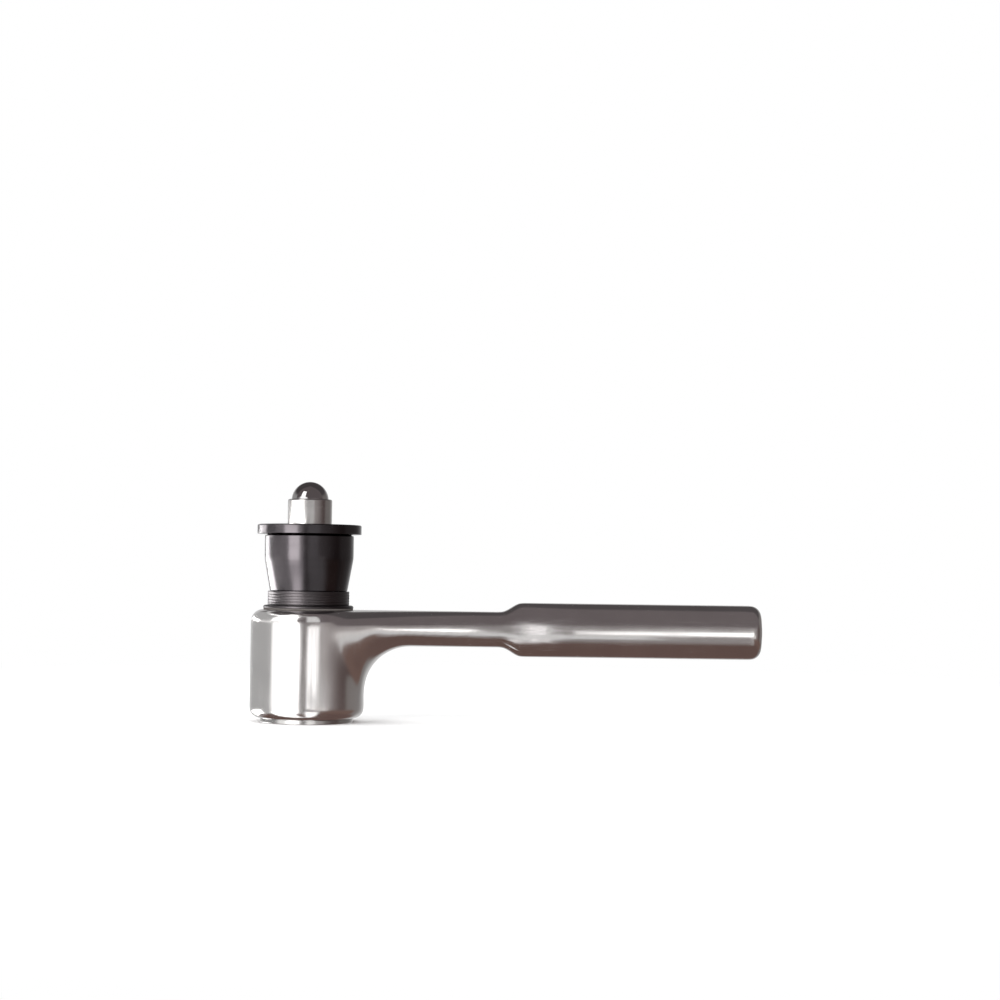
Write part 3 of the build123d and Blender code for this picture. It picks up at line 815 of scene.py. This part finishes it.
face_z, tip_z = bottom("sole_screws"), top("sole_screws")
screw_section = section_mesh("sole_socket_screws", [
    (0, face_z, 0),
    (SOLE_SCREW_HEAD_R, face_z, 0.15),
    (SOLE_SCREW_R, face_z + SOLE_SCREW_HEAD_R - SOLE_SCREW_R, 0.1),
    (SOLE_SCREW_R, tip_z - 0.4, 0),
    (SOLE_SCREW_R - 0.4, tip_z, 0),
    (0, tip_z, 0),
])
screws = grown("sole_socket_screws", SCREW_CIRCLE, screw_section, screw_steel,
               Circle_Radius=SOLE_SCREW_CIRCLE_R * MM, Face_Height=face_z * MM)
put(screws, "holder", "screw_steel", "sole_screws")

liner_top = top("bore_liner")
liner = turned("bronze_liner", [
    (LINER_BORE_R, LINER_BOTTOM, 0.2),
    (LINER_R, LINER_BOTTOM, 0.3),
    (LINER_R, liner_top, 0.1),
    (LINER_BORE_R + 0.8, liner_top, 0.2),
    (LINER_BORE_R, liner_top - 0.8, 0.3),
], bronze)
put(liner, "holder", "bronze", "bore_liner")


# ---- test head ----

barrel_bottom = bottom("barrel")
barrel = turned("barrel_tube", [
    (BARREL_LOWER_BORE_R, barrel_bottom, 0.2),
    (BARREL_R - 0.8, barrel_bottom, 0.2),
    (BARREL_R, barrel_bottom + 0.8, 0.2),
    (BARREL_R, O_RING_LOW, 0.15),
    (O_RING_FLOOR_R, O_RING_LOW, 0.15),
    (O_RING_FLOOR_R, O_RING_HIGH, 0.15),
    (BARREL_R, O_RING_HIGH, 0.15),
    (BARREL_R, SEAT_BOTTOM, 0.1),
    (SEAT_R, SEAT_BOTTOM, 0.25),
    (SEAT_R, SEAT_TOP, 1.1),
    (RING_BORE_R - FIT, SEAT_TOP, 0.1),
    (RING_BORE_R - FIT, SHOULDER_Z, 0.1),
    (BARREL_R, SHOULDER_Z, 0.1),
    (BARREL_R, CAP_BOTTOM, 0.2),
    (BARREL_UPPER_BORE_R, CAP_BOTTOM, 0.2),
    (BARREL_UPPER_BORE_R, BARREL_STEP_Z, 0),
    (BARREL_LOWER_BORE_R, BARREL_STEP_Z, 0),
    (BARREL_LOWER_BORE_R, CIRCLIP_HIGH, 0),
    (CIRCLIP_GROOVE_R, CIRCLIP_HIGH, 0),
    (CIRCLIP_GROOVE_R, CIRCLIP_LOW, 0),
    (BARREL_LOWER_BORE_R, CIRCLIP_LOW, 0),
], satin_black)
ports = (PORT_R, (-20, 0, SHEAR_PIN_Z), (20, 0, SHEAR_PIN_Z))
drilled(barrel, [
    ports,
    (GUIDE_SCREW_R, (0, 5, GUIDE_SCREW_Z), (0, 20, GUIDE_SCREW_Z)),
    (GUIDE_SCREW_R + 0.9, (0, BARREL_R + 0.4, GUIDE_SCREW_Z), (0, BARREL_R - 0.5, GUIDE_SCREW_Z),
     GUIDE_SCREW_R),
])
put(barrel, "test_head", "black_steel", "barrel")

cord_r = (O_RING_R - O_RING_FLOOR_R) / 2
cord_section = arc(O_RING_FLOOR_R + cord_r, (O_RING_LOW + O_RING_HIGH) / 2, cord_r, 0, 345, 23)
put(turned("round_o_ring", cord_section, rubber), "test_head", "rubber", "barrel_o_ring")

cup = turned("cup", [
    (RING_BORE_R, bottom("cup_sleeve"), 0.1),
    (CUP_FOOT_R, bottom("cup_sleeve"), 0.35),
    (CUP_R, CUP_SHOULDER_Z, CUP_SHOULDER_ROUND),
    (CUP_R, CUP_TOP, 0.5),
    (CAP_HUB_R + FIT, CUP_TOP, 0.2),
    (CAP_HUB_R + FIT, CAP_HUB_BOTTOM, 0),
    (BARREL_R + FIT, CAP_HUB_BOTTOM, 0),
    (BARREL_R + FIT, SHOULDER_Z, 0),
    (RING_BORE_R, SHOULDER_Z, 0),
], black_steel, Round_Steps=10)
put(cup, "test_head", "black_steel", "cup_sleeve")

# The cap has a ledge that hides the gap between the cup and the flange.
cap_top, cap_r = top("cap_flange"), radius("cap_flange")
ledge_r, ledge_z = CUP_R - 0.9, CUP_TOP + FIT
cap = turned("cap", [
    (CAP_BORE_R, CAP_BOTTOM, 0),
    (BARREL_R, CAP_BOTTOM, 0),
    (BARREL_R, CAP_HUB_BOTTOM, 0.2),
    (CAP_HUB_R, CAP_HUB_BOTTOM, 0.2),
    (CAP_HUB_R, ledge_z, 0),
    (ledge_r, ledge_z, 0),
    (ledge_r, CAP_BOTTOM, 0),
    (cap_r, CAP_BOTTOM, 0.2),
    (cap_r, cap_top, 0.55),
    (CAP_BORE_R, cap_top, 0.35),
], black_steel)
spanner_holes = []
for x, y in on_circle(SPANNER_CIRCLE_R, 4, 45):
    spanner_holes.append((SPANNER_HOLE_R, (x, y, cap_top - 2.5), (x, y, cap_top + 1)))
    spanner_holes.append((SPANNER_HOLE_R, (x, y, cap_top - 0.3), (x, y, cap_top + 0.3), SPANNER_HOLE_R + 0.6))
put(drilled(cap, spanner_holes), "test_head", "black_steel", "cap_flange")

wiper_bottom, wiper_top = bottom("wiper_ring"), top("wiper_ring")
wiper = turned("wiper_lip", [
    (STRIKER_R + 0.9, wiper_bottom, 0.2),
    (CAP_BORE_R, wiper_bottom, 0.1),
    (CAP_BORE_R, wiper_top - 0.5, 0.3),
    (STRIKER_R + 0.65, wiper_top, 0.15),
    (STRIKER_R + 0.3, wiper_top, 0.1),
    (STRIKER_R + 0.3, wiper_top - 0.6, 0.2),
], rubber)
put(wiper, "test_head", "rubber", "wiper_ring")

ring_r, ring_bottom, ring_top = radius("pin_ring"), bottom("pin_ring"), top("pin_ring")
ring_section = section_mesh("ribbed_pin_ring", [
    (RING_BORE_R, ring_bottom, 0),
    (ring_r, ring_bottom, 0),
    (ring_r, ring_top, 0),
    (RING_BORE_R, ring_top, 0),
])
ribbed_ring = grown("ribbed_pin_ring", RIBBED_RING, ring_section, satin_black, crease=60,
                    Outer_Radius=ring_r * MM, Bottom=ring_bottom * MM, Top=ring_top * MM,
                    Rib_Depth=RIB_DEPTH * MM)
put(drilled(ribbed_ring, [ports], crease=60), "pin_ring", "black_steel", "pin_ring")


# ---- load train ----

striker_bottom, striker_top, shoulder_r = bottom("striker"), top("striker"), radius("striker")
ball_z = centre("striking_ball")
seat_ball_r = radius("striking_ball") + 0.03
rim_angle = math.degrees(math.asin((striker_top - ball_z) / seat_ball_r))
rod = turned("striker_rod", [
    (0, striker_bottom, 0),
    (SHANK_R - 0.8, striker_bottom, 0.2),
    (SHANK_R, striker_bottom + 0.8, 0.2),
    (SHANK_R, STRIKER_SHOULDER_BOTTOM, 0.3),
    (shoulder_r, STRIKER_SHOULDER_BOTTOM, 0.3),
    (shoulder_r, STRIKER_SHOULDER_TOP, 0.3),
    (STRIKER_R, STRIKER_SHOULDER_TOP, 0),
    (STRIKER_R, striker_top, 0.6),
] + arc(0, ball_z, seat_ball_r, rim_angle, -90, 24), bright_steel)
put(drilled(rod, [(SHEAR_PIN_HOLE_R, (-12, 0, SHEAR_PIN_Z), (12, 0, SHEAR_PIN_Z))]),
    "load_train", "bright_steel", "striker")

ball_section = arc(0, ball_z, radius("striking_ball"), -90, 90, 64)
striking_ball = turned("steel_ball", ball_section, ball_steel, Segments=128)
put(striking_ball, "load_train", "polished_steel", "striking_ball")

indenter_section = arc(0, centre("indenter_ball"), radius("indenter_ball"), -90, 90, 48)
indenter = turned("carbide_ball", indenter_section, carbide, Segments=96)
put(indenter, "load_train", "carbide", "indenter_ball")

pin_half = (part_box("shear_pin")[1].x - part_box("shear_pin")[0].x) / MM / 2
pin_r = radius("shear_pin")
pin = turned("calibrated_pin", [
    (0, -pin_half, 0),
    (pin_r - SHEAR_PIN_CHAMFER, -pin_half, 0.1),
    (pin_r, -pin_half + SHEAR_PIN_CHAMFER, 0.1),
    (pin_r, pin_half - SHEAR_PIN_CHAMFER, 0.1),
    (pin_r - SHEAR_PIN_CHAMFER, pin_half, 0.1),
    (0, pin_half, 0),
], bright_steel, Segments=64)
put(lying(pin, SHEAR_PIN_Z), "shear_pin", "bright_steel", "shear_pin")

empty_mesh = bpy.data.meshes.new("spring_start")
spring = grown("coil_spring", COIL_SPRING, empty_mesh, spring_steel, Coil_Radius=SPRING_R * MM,
               Wire_Radius=SPRING_WIRE_R * MM, Turns=SPRING_TURNS, Bottom=bottom("return_spring") * MM,
               Top=top("return_spring") * MM)
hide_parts("return_spring")
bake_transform(spring)


# ---- stage ----

def floor():
    """Pale floor: it keeps the shadow near the tester and runs out into plain white. The run is from one
    distance to another, in metres, from a point under the handle."""
    under_handle = (80 * MM, 0, 0)
    white_from, white_to = 0.22, 0.55
    material, tree, shader = new_material("pale_floor", Roughness=0.9)
    shader.inputs["Specular IOR Level"].default_value = 0.0
    place = object_coordinates(tree)
    pale = tint(tree, noise(tree, place, 3.0), (0.93, 0.93, 0.93), (0.95, 0.95, 0.95))
    give(tree, shader.inputs["Base Color"], pale)
    away = add_node(tree, "ShaderNodeVectorMath", {"operation": "DISTANCE"})
    give(tree, away.inputs[0], place)
    away.inputs[1].default_value = under_handle
    far = soft_step(tree, away.outputs["Value"], white_from, white_to)
    white = add_node(tree, "ShaderNodeEmission", Color=(1, 1, 1, 1), Strength=1.0)
    blend = add_node(tree, "ShaderNodeMixShader", Fac=far)
    give(tree, blend.inputs[1], shader)
    give(tree, blend.inputs[2], white)
    give(tree, tree.nodes["Material Output"].inputs["Surface"], blend)
    material.cycles.emission_sampling = "NONE"
    sheet = bmesh.new()
    bmesh.ops.create_grid(sheet, x_segments=1, y_segments=1, size=6.0)
    piece = mesh_piece("floor", sheet, material)
    # The metal doesn't reflect the pale floor. It shows the surround's painted dark brown below in its place.
    piece.visible_glossy = False
    return piece


WHITE = (1.0, 1.0, 1.0)
# Studio surround: what the metal sees at eye level, by the direction round the tester. 0 degrees is the
# front and 90 degrees the handle's side. Each entry: direction, colour, level.
SURROUND = [
    (-180, WHITE, 0.60),
    (-152, WHITE, 0.60),
    (-146, WHITE, 0.42),
    (-80, WHITE, 0.42),
    (-75, WHITE, 1.4),
    (-54, WHITE, 1.4),
    (-44, (1.0, 0.99, 1.0), 5.2),
    (-28, (1.0, 0.99, 1.0), 5.2),
    (-19, (1.0, 0.99, 1.0), 1.6),
    (-15, (1.0, 0.95, 0.94), 0.25),
    (-4, (1.0, 0.93, 0.92), 0.25),
    (22, (1.0, 0.94, 0.93), 0.40),
    (46, (1.0, 0.90, 0.89), 0.28),
    (66, (1.0, 0.80, 0.78), 0.13),
    (80, (1.0, 0.72, 0.69), 0.09),
    (88, (1.0, 0.92, 0.89), 0.20),
    (128, (1.0, 0.94, 0.92), 0.22),
    (146, WHITE, 0.42),
    (156, WHITE, 0.60),
    (180, WHITE, 0.60),
]
# The whole surround is turned this far towards the handle, in degrees.
SURROUND_TURN = 6.0
# The surround's colours are kept as shares of its brightest level, which is the strength of its light.
BRIGHTEST = 8.0
OVERHEAD = (0.145, 0.125, 0.128)
OVERHEAD_BEHIND = (0.080, 0.072, 0.074)
# Painted reflection: the dark brown that the metal sees below, standing for a bench that isn't in the scene.
PAINTED_DARK_BELOW = (0.13, 0.085, 0.075)


def step_between(tree, value, start, end):
    """0 before start and 1 after end, in degrees."""
    return soft_step(tree, value, math.radians(start), math.radians(end))


def window(tree, value, start, end, soft):
    """1 between two angles, in degrees, with soft edges."""
    opens = step_between(tree, value, start - soft / 2, start + soft / 2)
    shuts = step_between(tree, value, end - soft / 2, end + soft / 2)
    return minus(tree, opens, shuts)


def laid_over(tree, under, colour, share):
    """The surround's light with another colour laid over it by a share from 0 to 1."""
    mixed = add_node(tree, "ShaderNodeMix", {"data_type": "RGBA"})
    # The Mix node repeats its socket names for each type of data, so the colours' sockets go by number.
    give(tree, mixed.inputs[0], share)
    give(tree, mixed.inputs[6], under)
    mixed.inputs[7].default_value = (*(part / BRIGHTEST for part in colour), 1)
    return mixed.outputs[2]


def stage_light(name):
    """A material with no shader yet, whose light isn't sampled as a lamp's. Returns it and its tree."""
    material = bpy.data.materials.new(name)
    material.use_nodes = True
    material.cycles.emission_sampling = "NONE"
    tree = material.node_tree
    tree.nodes.remove(tree.nodes["Principled BSDF"])
    return material, tree


def light_up(tree, colour, level):
    """Ends a material's tree with plain light."""
    lit = add_node(tree, "ShaderNodeEmission", Color=colour, Strength=level)
    give(tree, tree.nodes["Material Output"].inputs["Surface"], lit)


def only_for_reflections(piece):
    """Hides a stage piece from everything except the metal's reflections."""
    for ray in ("camera", "diffuse", "shadow", "transmission", "volume_scatter"):
        setattr(piece, "visible_" + ray, False)
    return piece


def surround():
    """A large emitting sphere that only reflections see."""
    material, tree = stage_light("studio_surround")
    place = parts(tree, object_coordinates(tree))
    x, y, z = (place[axis] for axis in "XYZ")
    direction = math_node(tree, "ARCTAN2", x, times(tree, y, -1.0))
    direction = minus(tree, direction, math.radians(SURROUND_TURN))
    height = math_node(tree, "ARCTAN2", z, axis_distance(tree, x, y))
    whole_turn = math_node(tree, "MULTIPLY_ADD", direction, 1 / math.tau, 0.5)
    ramp = add_node(tree, "ShaderNodeValToRGB", Fac=whole_turn)
    elements = ramp.color_ramp.elements
    for i, (degrees, colour, level) in enumerate(SURROUND):
        position = (degrees + 180) / 360
        # A new ramp has two elements already.
        if i < 2:
            element = elements[i]
            element.position = position
        else:
            element = elements.new(position)
        element.color = (*(part * level / BRIGHTEST for part in colour), 1)
    glow = ramp.outputs["Color"]
    # The narrow softbox on the right.
    share = times(tree, window(tree, direction, -1, 22, 4), window(tree, height, -7, -0.6, 0.8))
    glow = laid_over(tree, glow, (2.2, 2.2, 2.2), share)
    # Painted reflections, not of any bench: dark brown low on the handle's side, and a pale patch in front of
    # the arm that paints the arm's highlight.
    low = minus(tree, 1.0, step_between(tree, height, -15, -7))
    share = times(tree, window(tree, direction, 26, 112, 12), low)
    glow = laid_over(tree, glow, (0.16, 0.105, 0.090), share)
    share = times(tree, window(tree, direction, 16, 42, 8), window(tree, height, -13, -4, 3))
    glow = laid_over(tree, glow, (0.72, 0.69, 0.68), share)
    # Overhead, lower in front than behind, and below that a painted dark brown reflection, which stands for a
    # bench that isn't in the scene.
    behind = math_node(tree, "GREATER_THAN", y, 0.0)
    roof_behind = times(tree, behind, step_between(tree, height, 24, 46))
    roof_in_front = times(tree, minus(tree, 1.0, behind), step_between(tree, height, 5, 16))
    glow = laid_over(tree, glow, OVERHEAD, plus(tree, roof_behind, roof_in_front))
    glow = laid_over(tree, glow, OVERHEAD_BEHIND, times(tree, behind, window(tree, height, 24, 84, 16)))
    glow = laid_over(tree, glow, PAINTED_DARK_BELOW, minus(tree, 1.0, step_between(tree, height, -40, -24)))
    # A low white patch on the left, for the cup's foot.
    share = times(tree, window(tree, direction, -150, -108, 5), window(tree, height, -28, -12, 4))
    glow = laid_over(tree, glow, (BRIGHTEST, BRIGHTEST, BRIGHTEST), share)
    light_up(tree, glow, BRIGHTEST)
    ball = bmesh.new()
    bmesh.ops.create_icosphere(ball, subdivisions=5, radius=3.0)
    return only_for_reflections(mesh_piece("studio_surround", ball, material))


def glowing(name, sheet, level):
    """A stage piece of plain white light that only reflections see."""
    material, tree = stage_light(name)
    light_up(tree, (1, 1, 1, 1), level)
    return only_for_reflections(mesh_piece(name, sheet, material))


def bent_strip(sheet, first, low_edge, high_edge, steps=24):
    """A strip bent round the tester's axis from a first direction, in degrees. Each edge is its distance and
    height, in millimetres, and its last direction."""
    rows = []
    for i in range(steps + 1):
        row = []
        for distance, height, last in (low_edge, high_edge):
            angle = math.radians(first + (last - first) * i / steps)
            place = (distance * math.sin(angle), -distance * math.cos(angle), height)
            row.append(sheet.verts.new([value * MM for value in place]))
        rows.append(row)
    for left, right in zip(rows, rows[1:]):
        sheet.faces.new((left[0], right[0], right[1], left[1]))


def glow_card(name, distance, first, last, low, high, level, last_low=None):
    """A card bent round the tester at a distance from its axis, from one direction and height to another, in
    degrees and millimetres. Only reflections see it. last_low is where its lower edge ends, if elsewhere."""
    sheet = bmesh.new()
    bent_strip(sheet, first, (distance, low, last if last_low is None else last_low), (distance, high, last))
    return glowing(name, sheet, level)


def arm_highlight_card():
    """A sheet of pale light lying in front of the arm, which paints the highlight on the arm. Only
    reflections see it.
    """
    sheet = bmesh.new()
    corners = [(20, -230), (160, -230), (160, -100), (20, -100)]
    sheet.faces.new([sheet.verts.new((x * MM, y * MM, 0.3 * MM)) for x, y in corners])
    return glowing("arm_highlight_card", sheet, 0.65)


def louvre(first, last, low, high):
    """Slats of dim grey light in front of the cards on the left; only reflections see them. They let the cup
    see the cards, and paint a grey reflection on the round on top of the head in the cards' place."""
    spacing, rise = 2.0, 0.8
    inner_r, outer_r = 51.0, 55.4
    sheet = bmesh.new()
    height = low
    while height < high:
        bent_strip(sheet, first, (inner_r, height + rise, last), (outer_r, height, last))
        height += spacing
    return glowing("louvre", sheet, 0.42)


# The cards' distance from the axis, and the heights that the cards for the cup, flange and striker share.
CARD_R = 56.0
CUP_LOW, CUP_HIGH, FLANGE_HIGH, STRIKER_HIGH = 46.0, 81.0, 86.6, 98.0
floor()
surround()
arm_highlight_card()
louvre(-126, -59, CUP_LOW, FLANGE_HIGH)
glow_card("left_high_card", CARD_R, -59, -12, 50, 112, 1.4)
glow_card("left_low_card", CARD_R, -59, -12, -260, -6, 1.6)
glow_card("right_high_card", CARD_R, 3, 24, 50, 100, 0.7)
glow_card("right_low_card", CARD_R, 3, 22, -260, -6, 1.6)
glow_card("cup_glow_card", CARD_R - 1, -40, -15, 57, FLANGE_HIGH, 6.5)
glow_card("taper_glow_card", CARD_R - 1, -40, -15, 49, 57, 2.7)
glow_card("cup_edge_card", CARD_R, -125, -104, CUP_LOW, CUP_HIGH, 12.0, last_low=-91)
glow_card("cup_side_card", CARD_R + 1, -106, -59, CUP_LOW, CUP_HIGH, 2.0)
glow_card("flange_edge_card", CARD_R, -116, -86, CUP_HIGH, FLANGE_HIGH, 12.0)
glow_card("striker_edge_card", CARD_R, -143, -96, FLANGE_HIGH, STRIKER_HIGH, 0.75)
glow_card("striker_side_card", CARD_R - 1, -96, -23, FLANGE_HIGH, STRIKER_HIGH, 2.8)
glow_card("striker_front_card", CARD_R - 1, -23, 19, FLANGE_HIGH, STRIKER_HIGH, 0.62)
glow_card("ball_card", CARD_R - 1, -51, -23, STRIKER_HIGH, 160, 2.0)


def lamp(name, place, aim, size, power):
    """A soft rectangular lamp that lights the floor and the matt pieces."""
    light = bpy.data.lights.new(name, "AREA")
    light.shape = "RECTANGLE"
    light.size, light.size_y = size
    light.energy = power
    holder = new_object(name, light)
    holder.location = place
    holder.rotation_euler = (Vector(aim) - Vector(place)).to_track_quat("-Z", "Y").to_euler()
    holder.visible_camera = False
    holder.visible_glossy = False


lamp("key_lamp", (-0.9, -1.0, 0.9), (0.05, 0, 0.05), (1.2, 1.0), 16.0)
lamp("side_lamp", (0.7, -1.1, 0.7), (0.05, 0, 0.05), (0.8, 0.8), 8.0)
lamp("top_lamp", (0.05, 0.3, 1.5), (0.05, 0, 0.0), (1.4, 1.4), 14.0)

world = bpy.data.worlds.new("white_room")
scene.world = world
world.use_nodes = True
sky = world.node_tree
path = add_node(sky, "ShaderNodeLightPath")
mirrored = math_node(sky, "MAXIMUM", path.outputs["Is Glossy Ray"], path.outputs["Is Transmission Ray"])
seen = math_node(sky, "MAXIMUM", path.outputs["Is Camera Ray"], mirrored)
ambient = 0.55
level = math_node(sky, "MULTIPLY_ADD", seen, 1.0 - ambient, ambient)
sky.links.new(level, sky.nodes["Background"].inputs["Strength"])
sky.nodes["Background"].inputs["Color"].default_value = (1, 1, 1, 1)

# The camera looks a little upwards, and the tester leans a little to the right in its view.
camera_tilt = math.radians(2.2)
camera_roll = math.radians(0.75)
camera = new_object("camera", bpy.data.cameras.new("camera"))
camera.data.lens = 70.2
camera.data.sensor_width = 36.0
camera.data.clip_start = 0.01
camera.location = (82.0 * MM, -842 * MM, 64.1 * MM)
turned_up = Matrix.Rotation(math.radians(90) + camera_tilt, 3, "X") @ Matrix.Rotation(camera_roll, 3, "Z")
camera.rotation_euler = turned_up.to_euler()
scene.camera = camera
scene.view_settings.view_transform = "Standard"
